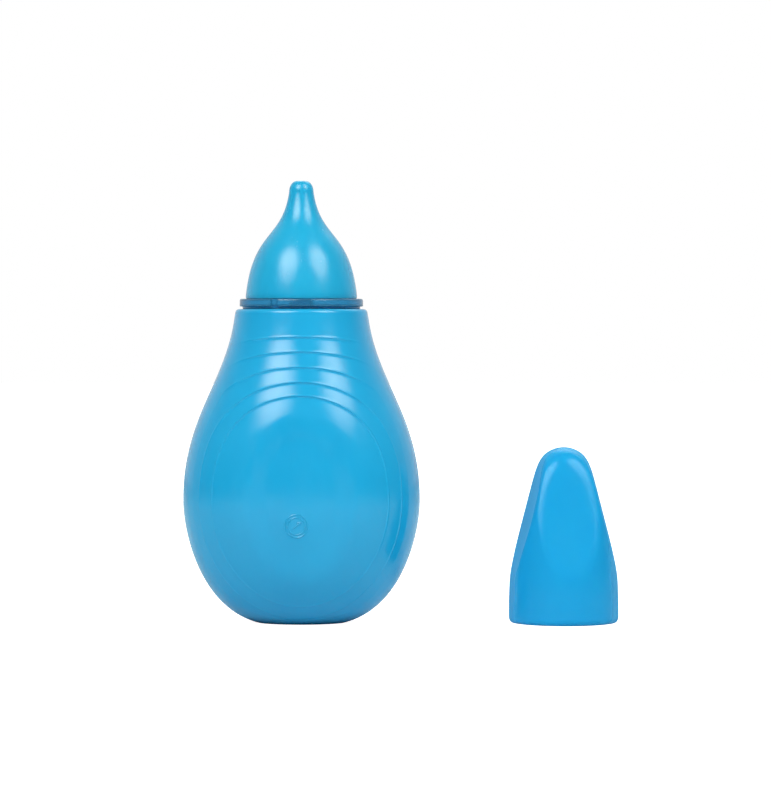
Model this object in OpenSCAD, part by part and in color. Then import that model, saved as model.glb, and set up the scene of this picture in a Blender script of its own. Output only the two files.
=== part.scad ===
// Bulb nasal aspirator: a soft squeeze bulb, a rigid connector that plugs into its neck,
// a soft nozzle over the connector, and a loose dust cap that stands beside the bulb.
// Origin: the middle of the bulb's foot. +Z is up, -Y is the front, +X is the dust cap's side.

/* [Squeeze bulb] */
// Height from the foot to the mouth
bulb_h = 76.8; // [74:0.1:80]
// Width of the belly, side to side
belly_w = 57.9; // [54:0.1:62]
// Depth of the belly, front to back
belly_d = 46.4; // [43:0.1:50]
// Height of the widest part of the belly
belly_z = 30; // [28:0.5:32]
// Width of the flat foot
foot_w = 21.6; // [19:0.2:23]
// Depth of the flat foot
foot_d = 16; // [14:0.5:18]
// Outside diameter of the neck at the mouth
neck_d = 32.4; // [31.6:0.1:34]
// Bore of the neck, which holds the connector's plug
mouth_d = 24.8; // [24.2:0.1:25.2]
// Wall thickness of the belly
bulb_wall = 1.8; // [1.4:0.1:2.2]

/* [Squeeze pads] */
// Width of the dished pad that a thumb or finger presses
pad_w = 27; // [24:0.5:30]
// Height of the dished pad
pad_h = 40; // [36:0.5:42]
// Height of the pad's middle above the foot
pad_z = 31; // [29:0.5:33]
// Depth of the dish below the belly's round surface
dish_depth = 0.9; // [0.4:0.1:1.4]
// Gap all round a pad, so that it can travel inwards
pad_gap = 0.3; // [0.2:0.05:0.5]

/* [Connector] */
// Diameter of the ring that shows between the bulb and the nozzle
ring_d = 30.2; // [29.6:0.1:31.2]
// Thickness of the ring
ring_t = 1.9; // [1.5:0.1:2.3]
// Diameter of the seat under the ring
seat_d = 28.8; // [28:0.1:29.2]
// Height of the seat under the ring
seat_h = 0.6; // [0.2:0.1:1.4]
// Length of the plug inside the bulb's neck
plug_l = 10; // [8:0.5:11]
// Height of the spigot inside the nozzle
spigot_h = 8.2; // [7:0.1:9]
// Outside diameter of the spigot
spigot_d = 21.1; // [20.5:0.1:21.3]
// Wall thickness of the plug and the spigot
connector_wall = 1.25; // [1:0.05:1.5]
// Bore of the drop tube, which keeps fluid in the bulb
tube_bore = 4.4; // [3.6:0.1:5]
// Length of the drop tube below the mouth of the bulb
tube_l = 16.1; // [14:0.1:19]

/* [Nozzle] */
// Height of the nozzle above the ring
nozzle_h = 28.8; // [27:0.1:31]
// Diameter of the nozzle where it sits on the ring
nozzle_d = 27.4; // [26.8:0.1:27.8]
// Diameter of the slim end, under its rounded tip
tip_d = 6.0; // [5.6:0.1:6.6]
// Diameter of the hole in the tip
tip_hole = 2.0; // [1.6:0.1:2.4]

/* [Dust cap] */
// Height of the dust cap
cap_h = 42.95; // [41:0.05:45]
// Diameter of the dust cap near its rim
cap_d = 26.9; // [26.4:0.1:27.4]
// Distance from the bulb's axis to the dust cap, where it stands
cap_x = 64.3; // [50:0.1:90]
// Turn of the four scooped sides, seen from above
cap_turn = 6.5; // [0:0.5:45]
// Radius of each hollow scooped side
scoop_r = 150; // [120:5:200]

/* [Hidden] */

$fn = 96;
eps = 0.01;            // overlap of one cut past a face
fit = 0.05;            // radial play between the pieces that push together
steps = 12;            // points along each curve
rim_r = 0.5;           // small rounding of moulded edges
lip_r = 1;             // rounding of the bulb's mouth, outside
ledge = 1;             // undercut below the neck's bore, all round
haunch = [0.86, 0.84]; // shares of the belly that the flare above the foot bends towards
haunch_z = 3.6;        // height of that bend
upright = [8, 21];     // stretches below and above the widest part where the wall stays near upright
shoulder = [18, 18.5]; // half-width and half-depth that the shoulder bends towards
shoulder_drop = 17.8;  // distance of that bend below the mouth
dish_edge = [0.6, 1.06]; // where a dish starts and stops rising to the belly, as shares of the pad
ring_z = bulb_h + seat_h;
nozzle_z = ring_z + ring_t;
tip_z = nozzle_z + nozzle_h;
plug_r = mouth_d / 2 - fit;
plug_z = bulb_h - plug_l;
bore_floor_z = plug_z - 2;
socket_r = spigot_d / 2 + fit;
belly = [belly_w / 2, belly_d / 2];

bulb_colour = [0.18, 0.67, 0.87];
smoke_colour = [0.24, 0.45, 0.58, 0.8];
cap_colour = [0.10, 0.62, 0.89];

// A point on a cubic Bezier curve through p[0] and p[3]
function bezier(p, t) =
    pow(1 - t, 3) * p[0] + 3 * pow(1 - t, 2) * t * p[1] + 3 * (1 - t) * t * t * p[2] + pow(t, 3) * p[3];

// The whole curve, as steps + 1 points
function curve(p) = [for (i = [0:steps]) bezier(p, i / steps)];

// 0 below a, 1 above b, smooth between
function ease(a, b, v) =
    let (t = min(1, max(0, (v - a) / (b - a)))) t * t * (3 - 2 * t);

// The bulb's half-width, half-depth and height at each ring, from the foot to the mouth.
// inset is 0 for the outside and the wall thickness for the inside.
function bulb_rings(inset, top_r, top_z) =
    let (
        grow = [1, 1] * -inset,
        foot = [foot_w, foot_d] / 2 + grow,
        wide = belly + grow,
        flare = [haunch.x * belly.x, haunch.y * belly.y] + grow,
        slope = shoulder + grow,
        lower = [
            [foot.x, foot.y, inset],
            [flare.x, flare.y, haunch_z + inset],
            [wide.x, wide.y, belly_z - upright[0]],
            [wide.x, wide.y, belly_z]
        ],
        upper = [
            [wide.x, wide.y, belly_z],
            [wide.x, wide.y, belly_z + upright[1]],
            [slope.x, slope.y, bulb_h - shoulder_drop],
            [top_r, top_r, top_z]
        ]
    )
    concat(curve(lower), [for (i = [1:steps]) bezier(upper, i / steps)]);

// Presses the pad's dish into the front and the back of a point on the bulb
function dished(p) =
    let (
        away = norm([2 * p.x / pad_w, 2 * (p.z - pad_z) / pad_h]),
        depth = dish_depth * (1 - ease(dish_edge[0], dish_edge[1], away))
    )
    [p.x, p.y - sign(p.y) * depth, p.z];

// A closed solid through a stack of oval rings, sides points to a ring
module loft(rings, sides) {
    last = len(rings) - 1;
    points = [
        for (r = rings, k = [0:sides - 1])
            let (a = 360 * k / sides) dished([r.x * cos(a), r.y * sin(a), r.z])
    ];
    walls = [
        for (i = [0:last - 1], k = [0:sides - 1])
            let (
                a = i * sides + k,
                b = i * sides + (k + 1) % sides
            )
            each [[a, b + sides, b], [a, a + sides, b + sides]]
    ];
    base = [for (k = [0:sides - 1]) k];
    top = [for (k = [0:sides - 1]) last * sides + sides - 1 - k];
    polyhedron(points, concat([base], walls, [top]));
}

// The whole moulding of the bulb, before its pads are cut free
module bulb_moulding() {
    lip_z = bulb_h - lip_r;
    lip = [
        for (a = [30:30:90])
            let (r = neck_d / 2 - lip_r * (1 - cos(a))) [r, r, lip_z + lip_r * sin(a)]
    ];
    outside = concat(bulb_rings(0, neck_d / 2, lip_z), lip);
    difference() {
        loft(outside, 72);
        loft(bulb_rings(bulb_wall, mouth_d / 2 + ledge, bore_floor_z + ledge), 48);
        translate([0, 0, bore_floor_z]) cylinder(d = mouth_d, h = bulb_h);
    }
}

// The oval column that a pad travels along; side is -1 at the front and 1 at the back
module pad_column(side, grow) {
    sides = 60;
    half = [pad_w / 2 + grow, pad_h / 2 + grow];
    oval = [
        for (k = [0:sides - 1])
            let (a = 360 * (k + 0.5) / sides) [half.x * cos(a), half.y * sin(a)]
    ];
    reach = belly_d;
    translate([0, side < 0 ? -eps : reach + eps, pad_z])
        rotate([90, 0, 0])
            linear_extrude(reach)
                polygon(oval);
}

module squeeze_bulb() {
    color(bulb_colour)
        difference() {
            bulb_moulding();
            pad_column(-1, pad_gap);
            pad_column(1, pad_gap);
        }
}

module squeeze_pad(side) {
    color(bulb_colour)
        intersection() {
            bulb_moulding();
            pad_column(side, 0);
        }
}

module front_thumb_pad() {
    squeeze_pad(-1);
}

module rear_finger_pad() {
    squeeze_pad(1);
}

module connector() {
    bore_r = tube_bore / 2;
    tube_r = bore_r + 1.2;   // outside of the drop tube
    inner_plug_r = plug_r - connector_wall;
    inner_spigot_r = spigot_d / 2 - connector_wall;
    deck_z = ring_z + 0.5;   // underside of the floor across the ring
    lead_in = 1;             // height of the plug's tapered start
    low_rib = 1;             // height of the sealing rib below the groove
    groove_h = 3;            // height of the groove round the plug
    groove = 0.4;            // depth of the groove, and height of each of its slopes
    groove_z = plug_z + lead_in + low_rib;
    notch_x = -6.3;          // place of the small pull-off notch in the ring's front edge
    notch_r = 0.9;           // radius of the notch
    outline = [
        [bore_r, bulb_h - tube_l],
        [tube_r, bulb_h - tube_l],
        [tube_r, deck_z],
        [inner_plug_r, deck_z],
        [inner_plug_r, plug_z],
        [plug_r - groove, plug_z],
        [plug_r, plug_z + lead_in],
        [plug_r, groove_z],
        [plug_r - groove, groove_z + groove],
        [plug_r - groove, groove_z + groove_h - groove],
        [plug_r, groove_z + groove_h],
        [plug_r, bulb_h],
        [seat_d / 2, bulb_h],
        [seat_d / 2, ring_z],
        [ring_d / 2 - rim_r / 2, ring_z],
        [ring_d / 2, ring_z + rim_r],
        [ring_d / 2, nozzle_z - rim_r],
        [ring_d / 2 - rim_r / 2, nozzle_z],
        [spigot_d / 2, nozzle_z],
        [spigot_d / 2, nozzle_z + spigot_h - rim_r],
        [spigot_d / 2 - rim_r, nozzle_z + spigot_h],
        [inner_spigot_r, nozzle_z + spigot_h],
        [inner_spigot_r, nozzle_z],
        [bore_r, nozzle_z]
    ];
    color(smoke_colour)
        difference() {
            rotate_extrude() polygon(outline);
            translate([notch_x, -ring_d / 2, ring_z - eps])
                cylinder(r = notch_r, h = ring_t + 2 * eps, $fn = 24);
        }
}

module nozzle() {
    hole_r = tip_hole / 2;
    tip_l = 2.7;             // length of the rounded end
    tip_round = min(1.85, tip_d / 2 - hole_r - 0.1);  // how far it rounds in, short of the hole
    slim_z = tip_z - tip_l;
    wall = 1.5;
    dome_bend = [0.88 * nozzle_d / 2, nozzle_z + 17.1];
    flare_bend = [tip_d / 2 + 1.8, slim_z - 12];
    dome = curve([[nozzle_d / 2, nozzle_z], dome_bend, flare_bend, [tip_d / 2, slim_z]]);
    rounded_tip = [
        for (a = [15:15:90])
            [tip_d / 2 - tip_round * (1 - cos(a)), slim_z + tip_l * sin(a)]
    ];
    hollow = [for (p = dome) if (p.x - wall < socket_r && p.x - wall > hole_r) [p.x - wall, p.y]];
    color(bulb_colour)
        rotate_extrude()
            polygon(concat(
                dome,
                rounded_tip,
                [[hole_r, tip_z], [hole_r, slim_z]],
                [for (i = [len(hollow) - 1:-1:0]) hollow[i]],
                [[socket_r, nozzle_z + spigot_h + 1], [socket_r, nozzle_z]]
            ));
}

module dust_cap() {
    cap_r = cap_d / 2;
    wall = 1.15;
    side_z = 2;              // top of the upright band above the rim
    bend_z = 18;             // height that both curves bend towards
    crown_bend = 0.84;       // share of the radius that the outside bends towards at the top
    outside = curve([[cap_r, side_z], [cap_r, bend_z], [crown_bend * cap_r, cap_h], [0, cap_h]]);
    rim_in = 0.9;            // how far the rim's outer edge rounds in
    rim_up = 1.4;            // and how far up
    rim_round = [[cap_r - rim_in, 0], [cap_r - 0.3 * rim_in, 0.35 * rim_up], [cap_r, rim_up]];
    mouth_r = cap_r - wall;
    crown_r = 5.9;           // inside radius under the crown
    crown_z = cap_h - 6.5;   // height where the inside starts to close
    crown_h = 5.2;           // height of the inside of the crown
    inside = curve([
        [mouth_r, 0],
        [mouth_r - 0.3, bend_z],
        [crown_r + 0.6, cap_h - 15],
        [crown_r, crown_z]
    ]);
    crown = [for (a = [15:15:90]) [crown_r * cos(a), crown_z + crown_h * sin(a)]];
    scoop_z = 25;            // height at which a scooped side stands in by scoop_in
    scoop_in = 9.4;          // from the cap's axis to the scooped side there
    scoop_lean = atan(0.24); // lean of the scooped side there, towards the axis
    color(cap_colour)
        translate([cap_x, 0, 0])
            rotate(cap_turn)
                difference() {
                    rotate_extrude() polygon(concat([[0, 0]], rim_round, outside));
                    rotate_extrude() polygon(concat([[0, -eps], [mouth_r, -eps]], inside, crown));
                    for (quarter = [0:3])
                        rotate(90 * quarter)
                            translate([0, -scoop_in, scoop_z])
                                rotate([-scoop_lean, 0, 0])
                                    translate([0, -scoop_r, 0])
                                        rotate([0, 90, 0])
                                            cylinder(r = scoop_r, h = cap_d, center = true, $fn = 360);
                }
}

squeeze_bulb();
front_thumb_pad();
rear_finger_pad();
connector();
nozzle();
dust_cap();
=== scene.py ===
import math

import bmesh
import bpy
import numpy as np
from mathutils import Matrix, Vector


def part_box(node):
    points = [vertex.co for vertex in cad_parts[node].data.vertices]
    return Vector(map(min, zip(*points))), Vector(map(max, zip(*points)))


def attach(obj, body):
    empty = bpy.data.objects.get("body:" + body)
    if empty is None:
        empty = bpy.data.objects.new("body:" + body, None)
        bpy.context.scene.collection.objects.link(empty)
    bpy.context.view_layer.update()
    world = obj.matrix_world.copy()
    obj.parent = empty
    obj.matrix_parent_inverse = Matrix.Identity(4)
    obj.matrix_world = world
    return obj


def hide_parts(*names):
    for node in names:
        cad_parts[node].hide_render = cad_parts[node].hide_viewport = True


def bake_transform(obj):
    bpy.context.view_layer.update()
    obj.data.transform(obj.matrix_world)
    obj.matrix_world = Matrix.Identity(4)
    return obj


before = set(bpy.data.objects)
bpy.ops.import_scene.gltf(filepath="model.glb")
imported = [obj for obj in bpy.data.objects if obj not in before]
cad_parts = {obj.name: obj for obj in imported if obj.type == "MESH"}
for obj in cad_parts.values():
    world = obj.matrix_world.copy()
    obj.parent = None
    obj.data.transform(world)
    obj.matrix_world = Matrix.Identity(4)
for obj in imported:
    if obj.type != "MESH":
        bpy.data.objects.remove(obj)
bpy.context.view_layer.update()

MM = 0.001

# ---------------------------------------------------------------------------------------------
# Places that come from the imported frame
# ---------------------------------------------------------------------------------------------

_, bulb_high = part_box("squeeze_bulb")
ring_low, ring_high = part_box("connector")
nozzle_low, nozzle_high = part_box("nozzle")
cap_low, cap_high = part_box("dust_cap")

BULB_H = bulb_high.z
BELLY_R = bulb_high.x
RING_R = ring_high.x
NOZZLE_R = nozzle_high.x
NOZZLE_Z = nozzle_low.z
TIP_Z = nozzle_high.z
CAP_H = cap_high.z
CAP_R = (cap_high.x - cap_low.x) / 2
CAP_X = (cap_high.x + cap_low.x) / 2

# ---------------------------------------------------------------------------------------------
# Sizes of the squeeze bulb
# ---------------------------------------------------------------------------------------------

BELLY_DEPTH = 23.2 * MM      # half the bulb's depth at its belly
BELLY_Z = 30 * MM            # height of the widest part
FOOT = (10.8 * MM, 8 * MM)   # half-width and half-depth of the flat foot
HAUNCH = (0.86, 0.84)        # shares of the belly that the flare above the foot bends towards
HAUNCH_Z = 3.6 * MM          # height of that bend
UPRIGHT = (8 * MM, 21 * MM)  # how far below and above the widest part the wall stays near upright
SHOULDER = (18 * MM, 18.5 * MM)  # half-width and half-depth that the shoulder bends towards
SHOULDER_DROP = 17.8 * MM    # distance of that bend below the mouth
NECK_R = 16.2 * MM           # outside radius of the neck at the mouth
MOUTH_R = 12.4 * MM          # radius of the neck's bore
LIP_R = 1.0 * MM             # rounding of the mouth's outer edge
BORE_LIP_R = 0.5 * MM        # rounding of its inner edge
BORE_NEAR = 1.2 * MM         # how near its ends the bore has points that keep its shading straight
BORE_FLOOR_Z = BULB_H - 12 * MM  # where the bore ends
LEDGE = 1 * MM               # undercut below the bore
WALL = 1.8 * MM              # wall of the belly
PINCH_END = 4 * MM           # length over which the foot's pinch-off line fades at its ends

DISH_Z = 31 * MM             # height of the middle of the dished pad
DISH_HALF = (13.5 * MM, 20 * MM)  # its half-width and half-height
DISH_DEPTH = 0.9 * MM
DISH_EDGE = (0.6, 1.06)      # where the dish starts and stops rising, as shares of its size

# The five nested steps of the front: ovals about one middle, each a step down inwards.
STEP_MIDDLE_Z = 30.5 * MM
STEP_TOPS = (55.95 * MM, 59.2 * MM, 62.8 * MM, 66.5 * MM, 70.05 * MM)  # heights of their tops
STEP_DROPS = (0.26 * MM, 0.24 * MM, 0.22 * MM, 0.19 * MM, 0.16 * MM)
STEP_REACH = (18 * MM, 17 * MM, 15 * MM, 12.5 * MM, 11 * MM)  # sideways reach of the strong part
REACH_FADE = (3 * MM, 5 * MM)  # how far inside and outside that reach it fades
STRONG_RISE = (-0.1, 0.3)    # sines of the angles above the middle where the strong part sets in
STEP_FAINT = (0.12, 0.12, 0.08, 0.06, 0.04)   # share of the drop that goes on down the sides
BEAD_FAINT = (0.80, 0.90, 0.30, 0.20, 0.10)   # and share of the bead
STEP_RUN = (4.4 * MM, 3.2 * MM, 3.1 * MM, 3.1 * MM, 2.6 * MM)  # tread that rises back to the skin
STEP_WIDTH = 0.6 * MM        # width of the drop itself, which is steepest at its edge
STEP_BEAD = 0.10 * MM        # height of the bead along the edge
BEAD_WIDTH = 0.16 * MM       # half-width of the bead
BEAD_OUT = 0.7               # the bead's middle lies this share of its half-width outside the edge
STEP_FADE = 0.3              # share of the half-depth below which the steps fade out
INNER_OVAL = (21.3 * MM, STEP_TOPS[0] - STEP_MIDDLE_Z)
OUTER_OVAL = (24.5 * MM, STEP_TOPS[1] - STEP_MIDDLE_Z)
OVAL_SHOULDER = 0.13         # how much wider the ovals are over their upper half

FLASH = 0.07 * MM            # height of the parting line's bead on each side
FLASH_REACH = 0.2 * MM       # its half-width
FLASH_ENDS = (2 * MM, 1 * MM)  # lengths over which it fades at the foot and at the mouth

# The skin's mesh: a square patch in the middle, and rays in loops from its edge to the skin's edge.
PATCH = 54                   # cells from the patch's middle to its edge
PATCH_TOP = 50.5 * MM        # height where the patch ends
RAYS = 8 * PATCH
BOTTOM_RAYS = 56             # rays that end on the foot's edge
TOP_RAYS = 104               # rays that end on the mouth's edge
SIDE_RAYS = (RAYS - BOTTOM_RAYS - TOP_RAYS) // 2
BOTTOM_ANGLES = (-118.0, -62.0)  # degrees about the steps' middle that the foot's rays span
TOP_ANGLES = (48.0, 132.0)   # and that the mouth's rays span
LOOP_GAP = 0.7 * MM          # greatest distance between loops
# Distances in mm of the close loops from a step's edge, and from the skin's top
LOOPS_BY_STEP = (
    -0.9, -0.7, -0.54, -0.4, -0.28, -0.18, -0.1, -0.04, 0.0,
    0.05, 0.1, 0.15, 0.2, 0.27, 0.36, 0.5, 0.7,
)
LOOPS_BY_TOP = (0, 0.05, 0.1, 0.16, 0.24, 0.36, 0.6)
RISE_SAMPLES = 800           # heights at which the skin's side is measured
INSIDE_ROWS = 17             # rows up each of the two curves of the wall's inside


# ---------------------------------------------------------------------------------------------
# Small helpers
# ---------------------------------------------------------------------------------------------

def ease(low, high, value):
    """0 below low, 1 above high, smooth between."""
    share = np.clip((np.asarray(value, float) - low) / (high - low), 0, 1)
    return share * share * (3 - 2 * share)


def bezier(points, share):
    """Points on the cubic Bezier curve of four points, for shares from 0 at its start to 1."""
    p = np.asarray(points, float)
    t = np.asarray(share, float)[..., None]
    return (1 - t) ** 3 * p[0] + 3 * (1 - t) ** 2 * t * p[1] + 3 * (1 - t) * t * t * p[2] + t ** 3 * p[3]


def share_at(curve, z):
    """The share along a rising curve of (.., .., height) points where it reaches height z."""
    halvings = 36
    low = np.zeros_like(z)
    high = np.ones_like(z)
    for _ in range(halvings):
        middle = (low + high) / 2
        below = bezier(curve, middle)[..., 2] < z
        low = np.where(below, middle, low)
        high = np.where(below, high, middle)
    return (low + high) / 2


def smooth_min(a, b, blend):
    """The lesser of a and b, with a soft corner."""
    share = np.clip(0.5 + 0.5 * (b - a) / blend, 0, 1)
    return b * (1 - share) + a * share - blend * share * (1 - share)


def new_piece(name, points, faces, material, sharp=35):
    """A mesh object, shaded smooth but for edges sharper than that angle, with its normals outward."""
    mesh = bpy.data.meshes.new(name)
    mesh.from_pydata([tuple(p) for p in points], [], faces)
    work = bmesh.new()
    work.from_mesh(mesh)
    bmesh.ops.recalc_face_normals(work, faces=work.faces)
    work.to_mesh(mesh)
    work.free()
    mesh.shade_smooth()
    mesh.set_sharp_from_angle(angle=math.radians(sharp))
    mesh.materials.append(material)
    piece = bpy.data.objects.new(name, mesh)
    bpy.context.scene.collection.objects.link(piece)
    return piece


def grid_faces(rows, wrap=False):
    """Quads between neighbouring rows of point numbers; wrap joins each row's ends."""
    faces = []
    for low, high in zip(rows, rows[1:]):
        count = len(low)
        for i in range(count if wrap else count - 1):
            j = (i + 1) % count
            faces.append((low[i], low[j], high[j], high[i]))
    return faces


def rounded(corners, segments=5):
    """The closed outline through (r, z, corner radius) corners, with its corners rounded."""
    longest = 0.4            # share of a side that a rounding may take
    lead = 1.15              # where the flat beside a rounding gets a point, in the rounding's reach
    outline = []
    for i, (r, z, radius) in enumerate(corners):
        here = Vector((r, z))
        before = Vector(corners[i - 1][:2]) - here
        after = Vector(corners[(i + 1) % len(corners)][:2]) - here
        half = before.angle(after) / 2
        reach = min(radius / math.tan(half), longest * before.length, longest * after.length)
        start = here + before.normalized() * reach
        end = here + after.normalized() * reach
        outline.append(here + before.normalized() * reach * lead)
        for k in range(segments + 1):
            t = k / segments
            outline.append((1 - t) ** 2 * start + 2 * t * (1 - t) * here + t * t * end)
        outline.append(here + after.normalized() * reach * lead)
    return [(p.x, p.y) for p in outline]


def full_turn(count):
    """Evenly spaced angles from the back, once round."""
    return np.linspace(-math.pi, math.pi, count + 1)[:-1]


def revolved(outline, angles):
    """Points and faces of a ring-shaped solid: the closed (r, z) outline turned about Z."""
    r = np.array([p[0] for p in outline])[:, None]
    z = np.array([p[1] for p in outline])[:, None]
    a = np.asarray(angles)[None, :]
    points = np.stack([r * np.sin(a), -r * np.cos(a), z + 0 * a], -1)
    numbers = np.arange(points.shape[0] * points.shape[1]).reshape(points.shape[:2])
    rows = [list(row) for row in numbers]
    return points.reshape(-1, 3), grid_faces(rows + [rows[0]], wrap=True)


# ---------------------------------------------------------------------------------------------
# Materials
# ---------------------------------------------------------------------------------------------

# Sizes of the plastics' unevenness, in features per metre
CLOUD_SCALE = 70             # tone
SATIN_SCALE = 420            # gloss
WAVE_SCALE = 160             # ripple of the surface
GRAIN_SCALE = 2600           # its fine grain
GRAIN_SHARE = 0.06           # height of the grain as a share of the ripple's
BUMP_STRENGTH = 0.35
RIM_FACING = (0.45, 0.85)    # from facing the eye to edge-on, where the rim's roughness sets in


class Nodes:
    """A short way to write a node tree."""

    def __init__(self, tree):
        self.tree = tree
        tree.nodes.clear()

    def add(self, kind, settings=None, **inputs):
        node = self.tree.nodes.new(kind)
        for name, value in (settings or {}).items():
            setattr(node, name, value)
        for name, value in inputs.items():
            self.set(node, name.replace("_", " "), value)
        return node

    def set(self, node, name, value):
        socket = node.inputs[name]
        if isinstance(value, bpy.types.NodeSocket):
            self.tree.links.new(value, socket)
        else:
            socket.default_value = value


def noise(nodes, place, scale, detail=3.0, roughness=0.5):
    """A noise texture's value; scale is in features per metre."""
    texture = nodes.add("ShaderNodeTexNoise", Vector=place, Scale=scale)
    nodes.set(texture, "Detail", detail)
    nodes.set(texture, "Roughness", roughness)
    return texture.outputs["Fac"]


def between(nodes, value, low, high, from_low=0.3, from_high=0.7):
    """Maps a value between from_low and from_high to one between low and high."""
    node = nodes.add("ShaderNodeMapRange", Value=value)
    nodes.set(node, "From Min", from_low)
    nodes.set(node, "From Max", from_high)
    nodes.set(node, "To Min", low)
    nodes.set(node, "To Max", high)
    return node.outputs["Result"]


def moulded(name, light, dark, gloss, ripple, streaks, rim=None, **shader):
    """A moulded plastic: a faint cloud of tone from dark to light, uneven gloss and a fine ripple.

    streaks below 1 draw the cloud out along the height. rim is the roughness that the plastic
    takes on where it is seen at a flat angle.
    """
    material = bpy.data.materials.new(name)
    material.use_nodes = True
    nodes = Nodes(material.node_tree)
    place = nodes.add("ShaderNodeTexCoord").outputs["Object"]
    drawn = nodes.add("ShaderNodeMapping", Vector=place, Scale=(1, 1, streaks)).outputs["Vector"]
    cloud = between(nodes, noise(nodes, drawn, CLOUD_SCALE, detail=4), 0, 1)
    tone = nodes.add("ShaderNodeMix", {"data_type": "RGBA"})
    nodes.tree.links.new(cloud, tone.inputs["Factor"])
    ends = {"A": (*dark, 1), "B": (*light, 1)}
    for socket in tone.inputs:
        if socket.type == "RGBA":
            socket.default_value = ends[socket.name]
    tinted = [socket for socket in tone.outputs if socket.type == "RGBA"][0]
    satin = between(nodes, noise(nodes, drawn, SATIN_SCALE, detail=5, roughness=0.6), *gloss)
    if rim is not None:
        facing = nodes.add("ShaderNodeLayerWeight", Blend=0.5).outputs["Facing"]
        satin = between(nodes, facing, satin, rim, from_low=RIM_FACING[0], from_high=RIM_FACING[1])
    wave = noise(nodes, drawn, WAVE_SCALE, detail=2)
    grain = noise(nodes, place, GRAIN_SCALE, detail=2)
    height = nodes.add("ShaderNodeMath", {"operation": "MULTIPLY_ADD"})
    nodes.tree.links.new(grain, height.inputs[0])
    height.inputs[1].default_value = GRAIN_SHARE
    nodes.tree.links.new(wave, height.inputs[2])
    uneven = height.outputs["Value"]
    bump = nodes.add("ShaderNodeBump", Strength=BUMP_STRENGTH, Distance=ripple, Height=uneven)
    body = nodes.add("ShaderNodeBsdfPrincipled", Roughness=satin, Normal=bump.outputs["Normal"])
    nodes.tree.links.new(tinted, body.inputs["Base Color"])
    for socket, value in shader.items():
        nodes.set(body, socket.replace("_", " "), value)
    out = nodes.add("ShaderNodeOutputMaterial")
    nodes.tree.links.new(body.outputs["BSDF"], out.inputs["Surface"])
    return material


bulb_soft = moulded(
    "bulb_soft",
    light=(0.009, 0.337, 0.63),
    dark=(0.007, 0.312, 0.60),
    gloss=(0.08, 0.24),
    ripple=0.045 * MM,
    streaks=0.22,
    IOR=1.5,
    Subsurface_Weight=0.12,
    Subsurface_Radius=(0.5, 0.9, 1.2),
    Subsurface_Scale=1.2 * MM,
)
nozzle_soft = moulded(
    "nozzle_soft",
    light=(0.009, 0.345, 0.60),
    dark=(0.007, 0.32, 0.575),
    gloss=(0.14, 0.29),
    ripple=0.02 * MM,
    streaks=0.6,
    IOR=1.48,
    Subsurface_Weight=0.2,
    Subsurface_Radius=(0.5, 0.9, 1.2),
    Subsurface_Scale=1.5 * MM,
)
connector_smoke = moulded(
    "connector_smoke",
    light=(0.040, 0.36, 0.70),
    dark=(0.032, 0.32, 0.65),
    gloss=(0.12, 0.2),
    ripple=0.015 * MM,
    streaks=1.0,
    IOR=1.49,
    Transmission_Weight=0.7,
)
cap_clear = moulded(
    "cap_clear",
    light=(0.011, 0.32, 0.65),
    dark=(0.008, 0.298, 0.62),
    gloss=(0.10, 0.24),
    ripple=0.02 * MM,
    streaks=0.3,
    rim=0.6,
    IOR=1.34,
    Specular_Tint=(0.6, 0.87, 1.0, 1),
    Subsurface_Weight=0.3,
    Subsurface_Radius=(0.3, 0.9, 1.3),
    Subsurface_Scale=1.5 * MM,
)


# ---------------------------------------------------------------------------------------------
# The squeeze bulb: a front and a back half that meet on the mould's parting line
# ---------------------------------------------------------------------------------------------

def pear(inset, top_r, top_z):
    """The lower and the upper curve of (half-width, half-depth, height) up the bulb's wall.

    inset moves the curves in from the outside, and the upper one ends at top_r and top_z.
    """
    side = np.array([BELLY_R, BELLY_DEPTH, 0])
    inward = np.array([-inset, -inset, 0])
    lower = [
        np.array([*FOOT, inset]) + inward,
        side * [*HAUNCH, 0] + [0, 0, HAUNCH_Z + inset] + inward,
        side + [0, 0, BELLY_Z - UPRIGHT[0]] + inward,
        side + [0, 0, BELLY_Z] + inward,
    ]
    upper = [
        side + [0, 0, BELLY_Z] + inward,
        side + [0, 0, BELLY_Z + UPRIGHT[1]] + inward,
        np.array([*SHOULDER, BULB_H - SHOULDER_DROP]) + inward,
        np.array([top_r, top_r, top_z]),
    ]
    return lower, upper


SKIN_TOP_Z = BULB_H - LIP_R
SKIN_LOWER, SKIN_UPPER = pear(0, NECK_R, SKIN_TOP_Z)


def skin_size(z):
    """Half-width and half-depth of the bulb's outside at each height."""
    low = bezier(SKIN_LOWER, share_at(SKIN_LOWER, z))
    high = bezier(SKIN_UPPER, share_at(SKIN_UPPER, z))
    size = np.where((z < BELLY_Z)[..., None], low, high)
    return size[..., 0], size[..., 1]


def dish(x, z):
    """How far the dished pad lies below the belly's round skin."""
    away = np.hypot(x / DISH_HALF[0], (z - DISH_Z) / DISH_HALF[1])
    return DISH_DEPTH * (1 - ease(*DISH_EDGE, away))


def skin_depth(x, z):
    """Distance of the skin from the parting plane, at a place seen from the front, dish included."""
    width, depth = skin_size(z)
    across = np.clip(x / width, -1, 1)
    return depth * np.sqrt(1 - across ** 2) - dish(x, z)


def ray_angles(share):
    """The angle about the steps' middle of a ray, from its share of the whole turn."""
    marks = np.cumsum([0, BOTTOM_RAYS, SIDE_RAYS, TOP_RAYS, SIDE_RAYS])
    angles = [*BOTTOM_ANGLES, *TOP_ANGLES, BOTTOM_ANGLES[0] + 360]
    return np.radians(np.interp(np.asarray(share) * RAYS, marks, angles))


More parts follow.
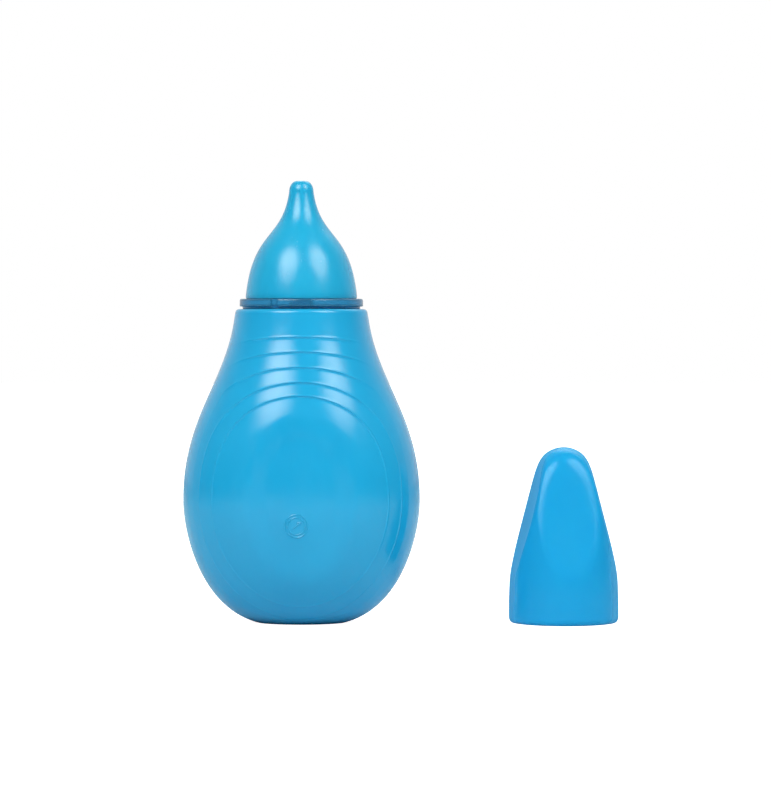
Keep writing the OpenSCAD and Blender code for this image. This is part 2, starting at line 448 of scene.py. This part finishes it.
def oval(half, angle, size=1.0):
    """A point on a step's oval, seen from the front, as x and z."""
    wider = 1 + OVAL_SHOULDER * np.clip(np.sin(angle), 0, 1) ** 2
    x = half[0] * size * wider * np.cos(angle)
    z = STEP_MIDDLE_Z + half[1] * size * np.sin(angle)
    return x, z


def turn_of(x, z):
    """Where a point seen from the front lies around the bulb: -1 and 1 are the parting lines."""
    width, _ = skin_size(z)
    return np.arcsin(np.clip(x / width, -1, 1)) / (math.pi / 2)


def skin_outline():
    """The edge of a half's skin as (turn, height): along the foot, up, along the mouth and down."""
    z = np.linspace(0, SKIN_TOP_Z, RISE_SAMPLES)
    width, _ = skin_size(z)
    run = np.concatenate([[0], np.cumsum(np.hypot(np.diff(width), np.diff(z)))])
    rise = np.interp(np.linspace(0, run[-1], SIDE_RAYS + 1), run, z)
    foot = [(-1 + 2 * i / BOTTOM_RAYS, 0) for i in range(BOTTOM_RAYS)]
    up = [(1, h) for h in rise[:-1]]
    mouth = [(1 - 2 * i / TOP_RAYS, SKIN_TOP_Z) for i in range(TOP_RAYS)]
    down = [(-1, h) for h in rise[:0:-1]]
    return np.array(foot + up + mouth + down)


def skin_loops():
    """Heights where the loops around the patch cross the middle: close together at a step."""
    marks = {top + away * MM for top in STEP_TOPS for away in LOOPS_BY_STEP}
    marks |= {SKIN_TOP_Z - away * MM for away in LOOPS_BY_TOP}
    loops = []
    height = PATCH_TOP
    for mark in sorted(marks):
        count = int((mark - height) / LOOP_GAP)
        loops += [height + (mark - height) * (i + 1) / (count + 1) for i in range(count)]
        loops.append(mark)
        height = mark
    return np.array(loops)


def step_depth(height, angle, x):
    """How far the steps lie below the skin at a loop's points.

    height is where the loop crosses the middle, and angle and x say where its points are.
    """
    total = np.zeros_like(x)
    above = ease(*STRONG_RISE, np.sin(angle))
    for k, top in enumerate(STEP_TOPS):
        past = height - top
        fall = 1 - (1 - np.clip(-past / STEP_WIDTH, 0, 1)) ** 2
        drop = fall * np.clip(1 + (past + STEP_WIDTH) / STEP_RUN[k], 0, 1)
        bead = np.exp(-((past - BEAD_OUT * BEAD_WIDTH) / BEAD_WIDTH) ** 2)
        reach = (STEP_REACH[k] - REACH_FADE[0], STEP_REACH[k] + REACH_FADE[1])
        strong = (1 - ease(*reach, np.abs(x))) * above
        total += (STEP_FAINT[k] + (1 - STEP_FAINT[k]) * strong) * STEP_DROPS[k] * drop
        total -= (BEAD_FAINT[k] + (1 - BEAD_FAINT[k]) * strong) * STEP_BEAD * bead
    return total


def patch_points():
    """The square patch's points seen from the front, as x and z by column and row.

    Each square ring of cells becomes an oval, and a point's share of the way round is the same.
    """
    cells = np.arange(-PATCH, PATCH + 1)
    a, b = np.meshgrid(cells, cells, indexing="ij")
    ring = np.maximum(np.abs(a), np.abs(b))
    share = np.select(
        [(b == -ring) & (a < ring), (a == ring) & (b < ring), (b == ring) & (a > -ring)],
        [a + ring, 3 * ring + b, 5 * ring - a],
        7 * ring - b,
    ) / (8 * np.maximum(ring, 1))
    size = ring / PATCH * (PATCH_TOP - STEP_MIDDLE_Z) / INNER_OVAL[1]
    return oval(INNER_OVAL, ray_angles(share), size)


def patch_border():
    """The patch's edge points, column and row, in the order of the rays."""
    last = 2 * PATCH
    border = [(i, 0) for i in range(last)]
    border += [(last, i) for i in range(last)]
    border += [(last - i, last) for i in range(last)]
    border += [(0, last - i) for i in range(last)]
    return border


class Half:
    """The points and faces of one half of the bulb. side is -1 for the front and 1 for the back."""

    def __init__(self, side):
        self.side = side
        self.points = []
        self.faces = []

    def add(self, x, depth, z):
        """Adds points and returns their numbers."""
        first = len(self.points)
        x, depth, z = np.broadcast_arrays(x, depth, z)
        self.points.extend(zip(x.ravel(), (self.side * depth).ravel(), z.ravel()))
        return np.arange(first, len(self.points)).reshape(x.shape)


def skin_loop(height, angle, edge):
    """Turn and height of one loop's points. edge is the outline that the last loop ends on."""
    if height <= STEP_TOPS[0]:
        x, z = oval(INNER_OVAL, angle, (height - STEP_MIDDLE_Z) / INNER_OVAL[1])
        return turn_of(x, z), z
    outer_x, outer_z = oval(OUTER_OVAL, angle)
    if height <= STEP_TOPS[1]:
        share = (height - STEP_TOPS[0]) / (STEP_TOPS[1] - STEP_TOPS[0])
        inner_x, inner_z = oval(INNER_OVAL, angle)
        x = inner_x + (outer_x - inner_x) * share
        z = inner_z + (outer_z - inner_z) * share
        return turn_of(x, z), z
    share = (height - STEP_TOPS[1]) / (SKIN_TOP_Z - STEP_TOPS[1])
    turn = turn_of(outer_x, outer_z)
    return turn + (edge[:, 0] - turn) * share, outer_z + (edge[:, 1] - outer_z) * share


def add_skin(half):
    """Adds a half's outer skin and returns the point numbers of its edge."""
    x, z = patch_points()
    patch = half.add(x, skin_depth(x, z), z)
    half.faces += grid_faces([list(row) for row in patch])
    rows = [[patch[i, j] for i, j in patch_border()]]
    angle = ray_angles(np.arange(RAYS) / RAYS)
    edge = skin_outline()
    for height in skin_loops():
        turn, z = skin_loop(height, angle, edge)
        width, deep = skin_size(z)
        x = width * np.sin(turn * math.pi / 2)
        depth = deep * np.cos(turn * math.pi / 2)
        fade = ease(0, STEP_FADE, depth / deep)
        ends = ease(0, FLASH_ENDS[0], z) * ease(0, FLASH_ENDS[1], SKIN_TOP_Z - z)
        flash = FLASH * (1 - ease(0, FLASH_REACH, depth)) * ends
        depth = depth - dish(x, z) - step_depth(height, angle, x) * fade
        on_parting_line = np.abs(turn) > 1 - 1e-9
        depth = np.where(on_parting_line, 0, depth)
        rows.append(list(half.add(x + np.sign(turn) * flash, depth, z)))
    half.faces += grid_faces(rows, wrap=True)
    return rows[-1]


def mouth_profile():
    """(radius, height) over the mouth's rounded lip and down its bore."""
    sweep = np.radians(np.arange(15, 91, 15))
    inner_sweep = np.radians(np.arange(0, 91, 15))
    flat = (NECK_R - LIP_R, MOUTH_R + BORE_LIP_R)  # its outer and inner radius
    near = 0.1 * MM          # how near its edges the flat has points
    return [
        *[(NECK_R - LIP_R * (1 - math.cos(a)), SKIN_TOP_Z + LIP_R * math.sin(a)) for a in sweep],
        (flat[0] - near, BULB_H),
        ((flat[0] + flat[1]) / 2, BULB_H),
        (flat[1] + near, BULB_H),
        *[
            (MOUTH_R + BORE_LIP_R * (1 - math.sin(a)), BULB_H - BORE_LIP_R * (1 - math.cos(a)))
            for a in inner_sweep
        ],
        (MOUTH_R, BULB_H - BORE_NEAR),
        (MOUTH_R, BORE_FLOOR_Z + BORE_NEAR),
        (MOUTH_R, BORE_FLOOR_Z),
    ]


def add_inside(half, mouth_edge):
    """Adds the mouth, its bore and the inside of the wall, and returns their rows downwards."""
    lower, upper = pear(WALL, MOUTH_R + LEDGE, BORE_FLOOR_Z + LEDGE)
    profile = [(r, r, z) for r, z in mouth_profile()]
    profile += list(bezier(upper, np.linspace(1, 0, INSIDE_ROWS)))
    profile += list(bezier(lower, np.linspace(0, 1, INSIDE_ROWS))[-2::-1])
    across = np.linspace(math.pi / 2, -math.pi / 2, TOP_RAYS + 1)
    rows = [mouth_edge]
    for width, deep, z in profile:
        depth = deep * np.cos(across)
        depth[[0, -1]] = 0
        rows.append(list(half.add(width * np.sin(across), depth, z)))
    half.faces += grid_faces(rows)
    return rows


def floor_faces(low, high):
    """Faces between two rows that share their end points."""
    faces = [(low[0], low[1], high[1])]
    faces += [(low[i], low[i + 1], high[i + 1], high[i]) for i in range(1, len(low) - 2)]
    faces.append((low[-2], low[-1], high[-2]))
    return faces


def add_floor(half, row):
    """Adds the cavity's floor, from its edge to the parting plane, and returns its last row."""
    x = np.array([half.points[i][0] for i in row])
    z = half.points[row[0]][2]
    end = [row[0]] + list(half.add(x[1:-1], 0, z)) + [row[-1]]
    half.faces += floor_faces(row, end)
    return end


def add_foot(half, foot_edge):
    """Adds the flat foot with its raised pinch-off line, and returns its last row."""
    x = np.array([half.points[i][0] for i in foot_edge])[1:-1]
    depth = np.array([abs(half.points[i][1]) for i in foot_edge])[1:-1]
    ends = ease(0, PINCH_END, FOOT[0] - np.abs(x))
    # Share of the foot's depth, and rise in mm there
    pinch = [(0.6, 0), (0.25, 0), (0.14, 0.12), (0.09, 0.3), (0.05, 0.3), (0.02, 0.16), (0, 0.12)]
    rows = [foot_edge]
    for share, rise in pinch:
        row = half.add(x, depth * share, rise * MM * ends)
        rows.append([foot_edge[0]] + list(row) + [foot_edge[-1]])
    for low, high in zip(rows, rows[1:]):
        half.faces += floor_faces(low, high)
    return rows[-1]


def bulb_half(name, side, material):
    """One half of the bulb's moulding, closed by a cut face where the halves meet."""
    half = Half(side)
    edge = add_skin(half)
    corners = np.cumsum([BOTTOM_RAYS, SIDE_RAYS, TOP_RAYS])
    foot_edge = edge[:corners[0] + 1]
    right = edge[corners[0]:corners[1] + 1]
    mouth_edge = edge[corners[1]:corners[2] + 1]
    left = edge[corners[2]:]
    throat = add_inside(half, mouth_edge)
    floor_row = add_floor(half, throat[-1])
    foot_row = add_foot(half, foot_edge)
    right_in = [row[0] for row in throat]
    left_in = [row[-1] for row in throat]
    half.faces.append(tuple(
        foot_row[:-1] + right[:-1] + right_in + floor_row[1:-1] + left_in[::-1] + left[1:]
    ))
    return new_piece(name, half.points, half.faces, material)


def press(piece):
    """Bakes a piece's placement into its mesh."""
    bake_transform(piece)


bulb_front = bulb_half("bulb_front", -1, bulb_soft)
press(bulb_front)
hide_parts("squeeze_bulb", "front_thumb_pad")

bulb_back = bulb_half("bulb_back", 1, bulb_soft)
press(bulb_back)
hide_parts("rear_finger_pad")


# ---------------------------------------------------------------------------------------------
# The mould mark: two fine raised rings with a pointer, low on the dished pad
# ---------------------------------------------------------------------------------------------

MARK_X = -0.75 * MM          # middle of the rings
MARK_Z = 24.8 * MM
MARK_RINGS = (2.75 * MM, 2.05 * MM)  # their radii
MARK_LINE = 0.18 * MM        # radius of the raised lines
MARK_SUNK = 0.35             # share of that radius by which their middles lie under the skin
MARK_LEAN = math.radians(40)  # the pointer's angle
MARK_POINTER = (-1.1 * MM, 1.45 * MM)  # where it starts and ends, from the rings' middle
BARB = 0.9 * MM              # length of the pointer's two barbs
BARB_TURN = math.radians(150)  # their angle from the pointer's


def raised_line(path, closed):
    """Points and faces of a fine tube along (x, z) places on the front skin."""
    sides = 8
    path = np.asarray(path, float)
    count = len(path)
    ahead = np.roll(path, -1, 0) if closed else np.vstack([path[1:], 2 * path[-1] - path[-2]])
    behind = np.roll(path, 1, 0) if closed else np.vstack([2 * path[0] - path[1], path[:-1]])
    along = ahead - behind
    along /= np.hypot(along[:, 0], along[:, 1])[:, None]
    points = []
    for (x, z), (ax, az) in zip(path, along):
        y = -float(skin_depth(np.array(x), np.array(z))) + MARK_SUNK * MARK_LINE
        for k in range(sides):
            a = 2 * math.pi * k / sides
            out = MARK_LINE * math.cos(a)
            points.append((x - az * out, y - MARK_LINE * math.sin(a), z + ax * out))
    rows = [list(range(i * sides, (i + 1) * sides)) for i in range(count)]
    faces = grid_faces(rows + ([rows[0]] if closed else []), wrap=True)
    if not closed:
        faces += [tuple(rows[0]), tuple(rows[-1])]
    return points, faces


def mark_lines():
    """The paths of the mark's lines, and whether each is closed."""
    middle = np.array([MARK_X, MARK_Z])
    turn = np.linspace(0, 2 * math.pi, 73)[:-1]
    for radius in MARK_RINGS:
        yield middle + radius * np.stack([np.cos(turn), np.sin(turn)], -1), True
    pointer = np.array([math.cos(MARK_LEAN), math.sin(MARK_LEAN)])
    start, tip = (middle + pointer * along for along in MARK_POINTER)
    yield np.linspace(start, tip, 12), False
    for a in (MARK_LEAN + BARB_TURN, MARK_LEAN - BARB_TURN):
        yield np.linspace(tip, tip + np.array([math.cos(a), math.sin(a)]) * BARB, 6), False


mark_points, mark_faces = [], []
for path, closed in mark_lines():
    line_points, line_faces = raised_line(path, closed)
    mark_faces += [tuple(i + len(mark_points) for i in face) for face in line_faces]
    mark_points += line_points
mould_mark = new_piece("mould_mark", mark_points, mark_faces, bulb_soft)
press(mould_mark)


# ---------------------------------------------------------------------------------------------
# The connector: drop tube, ribbed plug, seat, ring and spigot in one moulding
# ---------------------------------------------------------------------------------------------

RING_T = 1.9 * MM
SEAT_R = 14.4 * MM           # seat below the ring, on the bulb's mouth
PLUG_R = MOUTH_R - 0.05 * MM
PLUG_Z = BULB_H - 10 * MM    # lower end of the plug
PLUG_TAPER = (0.4 * MM, 1 * MM)  # how far in and up that end tapers
SPIGOT_R = 10.55 * MM
TUBE_R = 3.4 * MM            # drop tube
BORE_R = 2.2 * MM            # its bore
THICK = 1.25 * MM            # wall of the plug and the spigot
DECK = 0.5 * MM              # how far the deck's underside lies above the ring's
GROOVE_LOWS = (2 * MM, 5 * MM)  # lower edges of the grooves that leave the plug's ribs, from its end
GROOVE_H = 2 * MM
GROOVE_DEPTH = 0.4 * MM
GROOVE_SOFT = 0.15 * MM
NOTCH_X = -6.3 * MM          # place of the small notch in the ring's front edge
NOTCH_R = 0.9 * MM           # its radius
NOTCH_IN = 1.5 * NOTCH_R     # how far into the ring it can cut
NOTCH_SOFT = 0.15 * MM
NOTCH_FINE = 1.3 * NOTCH_R   # half-width of the stretch with fine columns
NOTCH_CLEAR = 1.5 * NOTCH_R  # half-width of the stretch without coarse ones
RING_MARGIN = 0.1 * MM       # how far past the ring's faces the notch still cuts
ring_z = NOZZLE_Z - RING_T


def plug_grooves():
    """The outline's corners up the plug's grooves."""
    for low in GROOVE_LOWS:
        z = PLUG_Z + low
        yield PLUG_R, z, GROOVE_SOFT
        yield PLUG_R - GROOVE_DEPTH, z + GROOVE_DEPTH, GROOVE_SOFT
        yield PLUG_R - GROOVE_DEPTH, z + GROOVE_H - GROOVE_DEPTH, GROOVE_SOFT
        yield PLUG_R, z + GROOVE_H, GROOVE_SOFT


def notched(points, notch_angle):
    """Points of the connector with the notch cut into the ring's edge."""
    r = np.hypot(points[:, 0], points[:, 1])
    aside = (np.arctan2(points[:, 0], -points[:, 1]) - notch_angle) * RING_R
    bite = np.sqrt(np.clip(NOTCH_R ** 2 - aside ** 2, 0, None))
    in_ring = (points[:, 2] > ring_z - RING_MARGIN) & (points[:, 2] < NOZZLE_Z + RING_MARGIN)
    at_notch = (bite > 0) & (r > RING_R - NOTCH_IN)
    cut = smooth_min(r, RING_R - bite, NOTCH_SOFT)
    points[:, :2] *= (np.where(in_ring & at_notch, cut, r) / r)[:, None]
    return points


connector_outline = rounded([
    (BORE_R, ring_low.z, 0.2 * MM),
    (TUBE_R, ring_low.z, 0.35 * MM),
    (TUBE_R, ring_z + DECK, 0.5 * MM),
    (PLUG_R - THICK, ring_z + DECK, 0.4 * MM),
    (PLUG_R - THICK, PLUG_Z, 0.3 * MM),
    (PLUG_R - PLUG_TAPER[0], PLUG_Z, 0.3 * MM),
    (PLUG_R, PLUG_Z + PLUG_TAPER[1], 0.2 * MM),
    *plug_grooves(),
    (PLUG_R, BULB_H, 0.1 * MM),
    (SEAT_R, BULB_H, 0.25 * MM),
    (SEAT_R, ring_z, 0.2 * MM),
    (RING_R, ring_z, 0.35 * MM),
    (RING_R, NOZZLE_Z, 0.55 * MM),
    (SPIGOT_R, NOZZLE_Z, 0.2 * MM),
    (SPIGOT_R, ring_high.z, 0.5 * MM),
    (SPIGOT_R - THICK, ring_high.z, 0.3 * MM),
    (SPIGOT_R - THICK, NOZZLE_Z, 0.4 * MM),
    (BORE_R, NOZZLE_Z, 0.3 * MM),
])
notch_angle = math.asin(NOTCH_X / RING_R)
coarse = full_turn(160)
coarse = coarse[np.abs(coarse - notch_angle) > NOTCH_CLEAR / RING_R]
fine = notch_angle + np.linspace(-1, 1, 41) * NOTCH_FINE / RING_R
points, faces = revolved(connector_outline, np.sort(np.concatenate([coarse, fine])))
points = notched(points, notch_angle)
connector = new_piece("connector_body", points, faces, connector_smoke)
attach(connector, "connector")
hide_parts("connector")


# ---------------------------------------------------------------------------------------------
# The nozzle: a soft dome that runs out to a slim tip
# ---------------------------------------------------------------------------------------------

TIP_R = 3.0 * MM             # radius where the tip starts to round in
TIP_L = 2.7 * MM             # length of the rounded tip
TIP_ROUND = 1.85 * MM        # how far it rounds in
HOLE_R = 1.0 * MM
SOCKET_R = SPIGOT_R + 0.05 * MM
SOCKET_H = 9.2 * MM
SOCKET_LIP = 0.3 * MM        # chamfer at the socket's mouth
NOZZLE_WALL = 1.5 * MM
DOME_BULGE = (0.88, 17.1 * MM)  # share of the base's radius, and height, that the dome bends towards
DOME_WAIST = (1.8 * MM, 12 * MM)  # how far outside the tip, and below it, it bends out again
slim_z = TIP_Z - TIP_L


def nozzle_outline():
    """The closed outline from the base's rounded edge up the outside and down the inside."""
    dome = bezier([
        (NOZZLE_R, NOZZLE_Z),
        (DOME_BULGE[0] * NOZZLE_R, NOZZLE_Z + DOME_BULGE[1]),
        (TIP_R + DOME_WAIST[0], slim_z - DOME_WAIST[1]),
        (TIP_R, slim_z),
    ], np.linspace(0, 1, 73))
    tip = [
        (TIP_R - TIP_ROUND * (1 - math.cos(a)), slim_z + TIP_L * math.sin(a))
        for a in np.radians(np.arange(6, 90, 6))
    ]
    inside = [(r - NOZZLE_WALL, z) for r, z in dome if SOCKET_R > r - NOZZLE_WALL > HOLE_R]
    return [
        # The base's rounded edge
        (NOZZLE_R - 0.5 * MM, NOZZLE_Z),
        (NOZZLE_R - 0.3 * MM, NOZZLE_Z + 0.02 * MM),
        (NOZZLE_R - 0.1 * MM, NOZZLE_Z + 0.12 * MM),
        *[tuple(place) for place in dome[1:]],
        *tip,
        # The hole's rounded edge
        (HOLE_R + 0.25 * MM, TIP_Z),
        (HOLE_R + 0.08 * MM, TIP_Z - 0.08 * MM),
        (HOLE_R, TIP_Z - 0.3 * MM),
        (HOLE_R, slim_z),
        *inside[::-1],
        (SOCKET_R, NOZZLE_Z + SOCKET_H),
        (SOCKET_R, NOZZLE_Z + SOCKET_LIP),
        (SOCKET_R + SOCKET_LIP, NOZZLE_Z),
    ]


points, faces = revolved(nozzle_outline(), full_turn(160))
nozzle = new_piece("nozzle_body", points, faces, nozzle_soft, sharp=50)
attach(nozzle, "nozzle")
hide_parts("nozzle")


# ---------------------------------------------------------------------------------------------
# The dust cap: a thin dome with four scooped sides
# ---------------------------------------------------------------------------------------------

CAP_WALL = 1.15 * MM
CAP_TURN = math.radians(6.5)  # how far the cap stands turned about its axis
CAP_SKIRT = 2 * MM           # height of the straight rim
CAP_BULGE = 18 * MM          # height up to which the side stays near upright
CAP_CROWN = 0.84             # breadth of the crown, as a share of the cap's radius
SCOOP_R = 150 * MM           # radius of the scooped sides, seen from the side
SCOOP_Z = 25 * MM            # height where a scoop's distance and lean are given
SCOOP_IN = 9.45 * MM         # its distance from the cap's axis there
SCOOP_LEAN = math.atan(0.24)  # its lean there
SCOOP_SOFT = (0.8 * MM, 2.6 * MM)  # softness of the scoops' edges, low down and near the crown
SOFT_FROM_TO = (18 * MM, 36 * MM)  # heights between which it grows
CAP_COLUMNS = 288
RIM_ROUND = (0.9 * MM, 1.4 * MM)  # how far in and up the rim's outer edge is rounded
RIM_INNER = 0.2 * MM         # rounding of its inner edge


def scoop_in(z):
    """Distance from the cap's axis to the flat of a scooped side at height z."""
    axis_z = SCOOP_Z + SCOOP_R * math.sin(SCOOP_LEAN)
    axis_out = SCOOP_IN + SCOOP_R * math.cos(SCOOP_LEAN)
    return axis_out - np.sqrt(SCOOP_R ** 2 - (z - axis_z) ** 2)


def scooped(r, z, wall, turn):
    """The radius of a row of the cap's wall once its four sides are scooped out."""
    quarter = math.pi / 2
    aside = (turn - CAP_TURN + quarter / 2) % quarter - quarter / 2
    flat = (scoop_in(z) - wall) / np.cos(aside)
    soft = SCOOP_SOFT[0] + (SCOOP_SOFT[1] - SCOOP_SOFT[0]) * ease(*SOFT_FROM_TO, z)
    return np.maximum(smooth_min(np.full_like(turn, r), flat, soft), 0)


def cap_rows():
    """(radius, height, wall inwards) down the outside, round the rim and up the inside."""
    shape = [(CAP_R, CAP_SKIRT), (CAP_R, CAP_BULGE), (CAP_CROWN * CAP_R, CAP_H), (0, CAP_H)]
    share = np.linspace(1, 0, 131)
    near = 0.002             # share of the curve over which its direction is measured
    outer = bezier(shape, share)
    ahead = bezier(shape, np.clip(share - near, 0, 1)) - bezier(shape, np.clip(share + near, 0, 1))
    ahead /= np.hypot(ahead[:, 0], ahead[:, 1])[:, None]
    inner = outer + CAP_WALL * np.stack([ahead[:, 1], -ahead[:, 0]], -1)
    inside_r = CAP_R - CAP_WALL
    rows = [(r, z, 0) for r, z in outer]
    # Single rows beside the rim's roundings keep the walls' shading straight
    rows.append((CAP_R, RIM_ROUND[1] + 0.3 * MM, 0))
    for a in np.radians(np.arange(0, 91, 10)):
        rows.append((CAP_R - RIM_ROUND[0] * (1 - math.cos(a)), RIM_ROUND[1] * (1 - math.sin(a)), 0))
    for a in np.radians(np.arange(0, 91, 18)):
        rows.append((inside_r + RIM_INNER * (1 - math.sin(a)), RIM_INNER * (1 - math.cos(a)), 0))
    rows += [(inside_r, 0.6 * MM, CAP_WALL), (inside_r, 1.3 * MM, CAP_WALL)]
    rows += [(r, z, CAP_WALL) for r, z in inner[::-3] if z > CAP_SKIRT]
    return rows


def cap_shell():
    """Points and faces of the cap. The outside starts at the crown's single top point."""
    turn = full_turn(CAP_COLUMNS)
    (_, top, _), *rows = cap_rows()
    points = [(CAP_X, 0, top)]
    grid = []
    for r, z, wall in rows:
        radius = scooped(r, z, wall, turn)
        grid.append(list(range(len(points), len(points) + CAP_COLUMNS)))
        points += zip(CAP_X + radius * np.sin(turn), -radius * np.cos(turn), np.full_like(turn, z))
    faces = grid_faces(grid, wrap=True)
    faces += [(0, grid[0][i], grid[0][(i + 1) % CAP_COLUMNS]) for i in range(CAP_COLUMNS)]
    faces.append(tuple(grid[-1]))
    return points, faces


cap_points, cap_faces = cap_shell()
dust_cap = new_piece("dust_cap_shell", cap_points, cap_faces, cap_clear)
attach(dust_cap, "cap")
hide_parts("dust_cap")


# ---------------------------------------------------------------------------------------------
# The table, the light and the camera
# ---------------------------------------------------------------------------------------------

TABLE_HALF = 3.0
TABLE_TONE = (0.52, 0.68, 0.76, 1)
TABLE_SATIN = (0.55, 0.65)   # roughness, from place to place
TABLE_SCALE = 30             # features of it per metre
LIGHT_AWAY = 1.3             # distance of the soft lights
LIGHT_AIM = 0.8 * BULB_H     # height that they are turned to
LIGHT_EVEN = 0.35            # share of a soft light's radius that is evenly bright
LIGHT_TONE = (1, 0.95, 0.85)
WHITE = 0.72                 # brightness of the white behind the object
WHITE_FROM_TO = (0.1, 0.7)   # how far back, as a share of the distance, it sets in and is full
ROOM = (0.08, 0.24)          # brightness of the room in front, low down and high up
ROOM_FROM_TO = (0.02, 0.3)   # how far up, as a share of the distance, it changes
VIEW_X = 20.6 * MM           # where the camera looks: between the bulb and the cap
VIEW_Z = 54.5 * MM
VIEW_RISE = 21.5 * MM        # how much higher the camera stands than that
VIEW_AWAY = 0.9
VIEW_WIDTH = 188.9 * MM      # width of the view at the object
SENSOR = 36                  # width of the camera's sensor in mm


def table_top():
    """A wide, plain, pale table top. Only the camera sees its glow, which lights nothing."""
    material = bpy.data.materials.new("table_top")
    material.use_nodes = True
    nodes = Nodes(material.node_tree)
    place = nodes.add("ShaderNodeTexCoord").outputs["Object"]
    satin = between(nodes, noise(nodes, place, TABLE_SCALE), *TABLE_SATIN)
    body = nodes.add("ShaderNodeBsdfPrincipled", Roughness=satin)
    body.inputs["Base Color"].default_value = TABLE_TONE
    body.inputs["Emission Color"].default_value = (1, 1, 1, 1)
    seen = nodes.add("ShaderNodeLightPath").outputs["Is Camera Ray"]
    nodes.tree.links.new(seen, body.inputs["Emission Strength"])
    out = nodes.add("ShaderNodeOutputMaterial")
    nodes.tree.links.new(body.outputs["BSDF"], out.inputs["Surface"])
    low, high = -TABLE_HALF, TABLE_HALF
    corners = [(low, low, 0), (high, low, 0), (high, high, 0), (low, high, 0)]
    floor = new_piece("table_top", corners, [(0, 1, 2, 3)], material)


def fading_glow(tree):
    """The nodes of a light that is evenly bright in the middle and fades out to its edge."""
    nodes = Nodes(tree)
    across = nodes.add("ShaderNodeNewGeometry").outputs["Parametric"]
    off = nodes.add("ShaderNodeVectorMath", {"operation": "DISTANCE"})
    nodes.tree.links.new(across, off.inputs[0])
    off.inputs[1].default_value = (0.5, 0.5, 0)
    smooth = {"interpolation_type": "SMOOTHSTEP"}
    fade = nodes.add("ShaderNodeMapRange", smooth, Value=off.outputs["Value"])
    nodes.set(fade, "From Min", LIGHT_EVEN / 2)
    nodes.set(fade, "From Max", 0.5)
    nodes.set(fade, "To Min", 1.0)
    nodes.set(fade, "To Max", 0.0)
    glow = nodes.add("ShaderNodeEmission", Strength=fade.outputs["Result"])
    out = nodes.add("ShaderNodeOutputLight")
    nodes.tree.links.new(glow.outputs["Emission"], out.inputs["Surface"])


def softbox(name, azimuth, elevation, width, height, brightness):
    """A soft oval light turned to the bulb. azimuth is in degrees from the front, towards +X."""
    light = bpy.data.lights.new(name, "AREA")
    light.shape = "ELLIPSE"
    light.size = width
    light.size_y = height
    light.color = LIGHT_TONE
    light.energy = brightness * math.pi * width * height * math.pi / 4
    light.use_nodes = True
    fading_glow(light.node_tree)
    lamp = bpy.data.objects.new(name, light)
    a = math.radians(azimuth)
    e = math.radians(elevation)
    away = Vector((math.sin(a) * math.cos(e), -math.cos(a) * math.cos(e), math.sin(e)))
    lamp.location = Vector((0, 0, LIGHT_AIM)) + away * LIGHT_AWAY
    lamp.rotation_euler = (-away).to_track_quat("-Z", "Y").to_euler()
    lamp.visible_camera = False
    bpy.context.scene.collection.objects.link(lamp)


def surroundings():
    """White behind and beside the object, a dark room in front of it, and white for the camera."""
    world = bpy.data.worlds.new("studio")
    world.use_nodes = True
    bpy.context.scene.world = world
    nodes = Nodes(world.node_tree)
    place = nodes.add("ShaderNodeTexCoord").outputs["Generated"]
    parts = nodes.add("ShaderNodeSeparateXYZ", Vector=place)
    behind = between(nodes, parts.outputs["Y"], 0, 1, *WHITE_FROM_TO)
    room = between(nodes, parts.outputs["Z"], *ROOM, *ROOM_FROM_TO)
    tone = between(nodes, behind, room, WHITE, 0, 1)
    seen = nodes.add("ShaderNodeLightPath").outputs["Is Camera Ray"]
    strength = nodes.add("ShaderNodeMath", {"operation": "MAXIMUM"})
    nodes.tree.links.new(tone, strength.inputs[0])
    nodes.tree.links.new(seen, strength.inputs[1])
    back = nodes.add("ShaderNodeBackground", Color=(1, 1, 1, 1), Strength=strength.outputs["Value"])
    out = nodes.add("ShaderNodeOutputWorld")
    nodes.tree.links.new(back.outputs["Background"], out.inputs["Surface"])


def view():
    """The camera, straight in front and a little above."""
    data = bpy.data.cameras.new("camera")
    data.sensor_fit = "HORIZONTAL"
    data.sensor_width = SENSOR
    data.lens = SENSOR * VIEW_AWAY / VIEW_WIDTH
    camera = bpy.data.objects.new("camera", data)
    camera.location = (VIEW_X, -VIEW_AWAY, VIEW_Z + VIEW_RISE)
    look = Vector((VIEW_X, 0, VIEW_Z)) - camera.location
    camera.rotation_euler = look.to_track_quat("-Z", "Y").to_euler()
    bpy.context.scene.collection.objects.link(camera)
    bpy.context.scene.camera = camera
    bpy.context.scene.view_settings.view_transform = "Standard"


table_top()
surroundings()
softbox("softbox_left", -34, 41, 1.3, 1.26, 7.8)
softbox("softbox_right", 50, 42, 1.15, 1.26, 6.7)
softbox("softbox_back", 165, 48, 1.5, 1.2, 1.8)
view()
